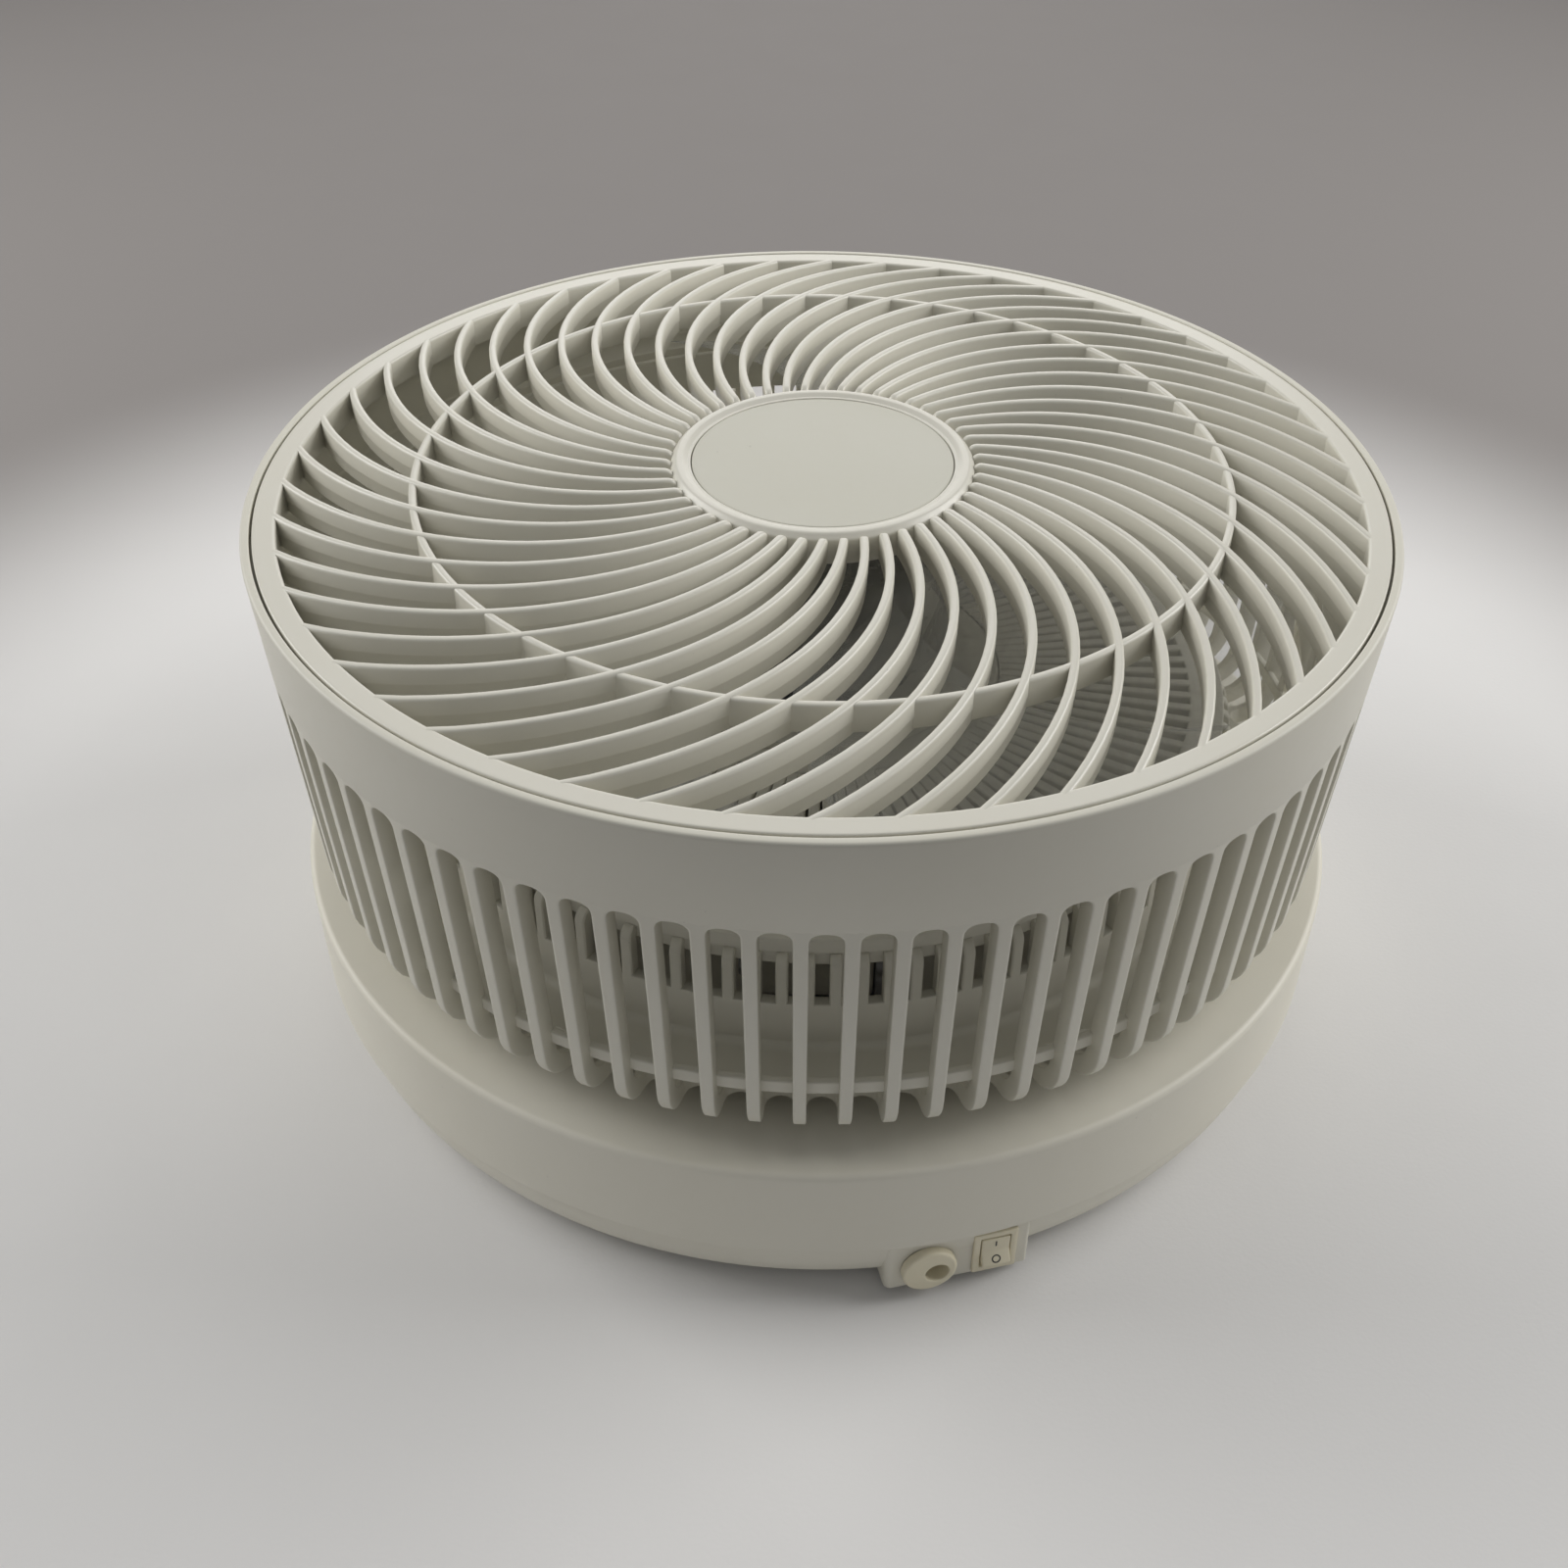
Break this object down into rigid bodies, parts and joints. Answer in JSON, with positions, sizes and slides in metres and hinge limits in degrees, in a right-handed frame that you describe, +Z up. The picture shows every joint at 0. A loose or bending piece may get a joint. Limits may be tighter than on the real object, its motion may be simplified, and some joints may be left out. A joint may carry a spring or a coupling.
{
  "type": "cordless folding fan",
  "caption": "Cordless folding fan: a round slatted head with a swirl-finned grille lies face up on its round base, with the telescopic pole folded flat between them.",
  "frame": {"origin": "centre of the round base at the floor, under the feet", "axes": "+Z up, the way the folded head faces; -Y is the back of the base, with the power inlet and the switch"},
  "size_m": [0.3392, 0.3398, 0.1808],
  "materials": {
    "white_plastic": "warm off-white moulded plastic with a fine satin grain",
    "cream_plastic": "cream plastic, slightly glossier than the shell",
    "button_plastic": "smooth off-white plastic",
    "slippery_plastic": "natural bearing plastic",
    "clear_plastic": "clear moulded plastic",
    "dark_plastic": "dark grey plastic",
    "rubber_feet": "grey rubber",
    "circuit_board": "green circuit board",
    "cell_wrap": "blue shrink wrap",
    "pole_tube": "plain drawn tube",
    "steel": "plain steel",
    "motor_case": "dark painted cup",
    "motor_winding": "varnished copper and laminations"
  },
  "bodies": {
    "base": {"base_pan": "white_plastic", "base_cover": "white_plastic", "foot_1": "rubber_feet", "foot_2": "rubber_feet", "foot_3": "rubber_feet", "foot_4": "rubber_feet", "power_inlet": "cream_plastic", "switch_frame": "cream_plastic", "battery_tray": "dark_plastic", "battery_cell_1": "cell_wrap", "battery_cell_2": "cell_wrap", "battery_cell_3": "cell_wrap", "battery_cell_4": "cell_wrap", "control_board": "circuit_board", "swing_drive": "steel", "button_board": "circuit_board", "glide_ring": "slippery_plastic"},
    "switch": {"switch_rocker": "cream_plastic"},
    "button_a": {"button_1": "button_plastic"},
    "button_b": {"button_2": "button_plastic"},
    "button_c": {"button_3": "button_plastic"},
    "button_d": {"button_4": "button_plastic"},
    "turntable": {"turntable": "white_plastic", "drive_hub": "slippery_plastic", "retaining_ring": "steel", "pole_bracket": "steel", "base_hinge_pin": "steel"},
    "pole": {"pole_foot": "white_plastic", "outer_tube": "pole_tube", "outer_collar": "dark_plastic"},
    "second_stage": {"second_tube": "pole_tube", "second_collar": "dark_plastic"},
    "third_stage": {"third_tube": "pole_tube", "third_collar": "dark_plastic"},
    "top_stage": {"inner_tube": "pole_tube", "neck": "white_plastic"},
    "head": {"drum_housing": "white_plastic", "air_guide": "white_plastic", "front_grille": "white_plastic", "hub_cap": "white_plastic", "rear_guard": "white_plastic", "head_bracket": "white_plastic", "head_hinge_pin": "steel", "motor_mount": "white_plastic", "rear_bearing": "steel", "front_bearing": "steel", "motor_stator": "motor_winding"},
    "impeller": {"impeller": "clear_plastic", "motor_rotor": "motor_case", "motor_shaft": "steel", "impeller_nut": "dark_plastic"}
  },
  "joints": [
    {"name": "turntable_swing", "type": "hinge", "parent": "base", "child": "turntable", "pos_m": [0, 0, 0.05], "axis": [0, 0, 1], "range_deg": [-45, 45]},
    {"name": "pole_fold", "type": "hinge", "parent": "turntable", "child": "pole", "pos_m": [0, -0.095, 0.0625], "axis": [1, 0, 0], "range_deg": [0, 90]},
    {"name": "second_slide", "type": "slide", "parent": "pole", "child": "second_stage", "axis": [0, 1, 0], "range_m": [0, 0.1]},
    {"name": "third_slide", "type": "slide", "parent": "second_stage", "child": "third_stage", "axis": [0, 1, 0], "range_m": [0, 0.1]},
    {"name": "top_slide", "type": "slide", "parent": "third_stage", "child": "top_stage", "axis": [0, 1, 0], "range_m": [0, 0.1]},
    {"name": "head_fold", "type": "hinge", "parent": "top_stage", "child": "head", "pos_m": [0, 0.095, 0.0625], "axis": [1, 0, 0], "range_deg": [-180, 0]},
    {"name": "impeller_spin", "type": "hinge", "parent": "head", "child": "impeller", "pos_m": [0, 0, 0.13], "axis": [0, 0, 1], "continuous": true},
    {"name": "switch_rock", "type": "hinge", "parent": "base", "child": "switch", "pos_m": [0.05211, -0.15683, 0.0125], "axis": [0.9677, 0.2521, 0], "range_deg": [0, 24]},
    {"name": "button_a_press", "type": "slide", "parent": "base", "child": "button_a", "axis": [0, 0, -1], "range_m": [0, 0.0012], "stiffness_N_per_m": 400, "springref_m": -0.001},
    {"name": "button_b_press", "type": "slide", "parent": "base", "child": "button_b", "axis": [0, 0, -1], "range_m": [0, 0.0012], "stiffness_N_per_m": 400, "springref_m": -0.001},
    {"name": "button_c_press", "type": "slide", "parent": "base", "child": "button_c", "axis": [0, 0, -1], "range_m": [0, 0.0012], "stiffness_N_per_m": 400, "springref_m": -0.001},
    {"name": "button_d_press", "type": "slide", "parent": "base", "child": "button_d", "axis": [0, 0, -1], "range_m": [0, 0.0012], "stiffness_N_per_m": 400, "springref_m": -0.001}
  ],
  "couplings": [
    {"joint": "second_slide", "follows": "pole_fold", "m_per_rad": 0.06366},
    {"joint": "third_slide", "follows": "pole_fold", "m_per_rad": 0.06366},
    {"joint": "top_slide", "follows": "pole_fold", "m_per_rad": 0.06366},
    {"joint": "head_fold", "follows": "pole_fold", "ratio": -2}
  ]
}
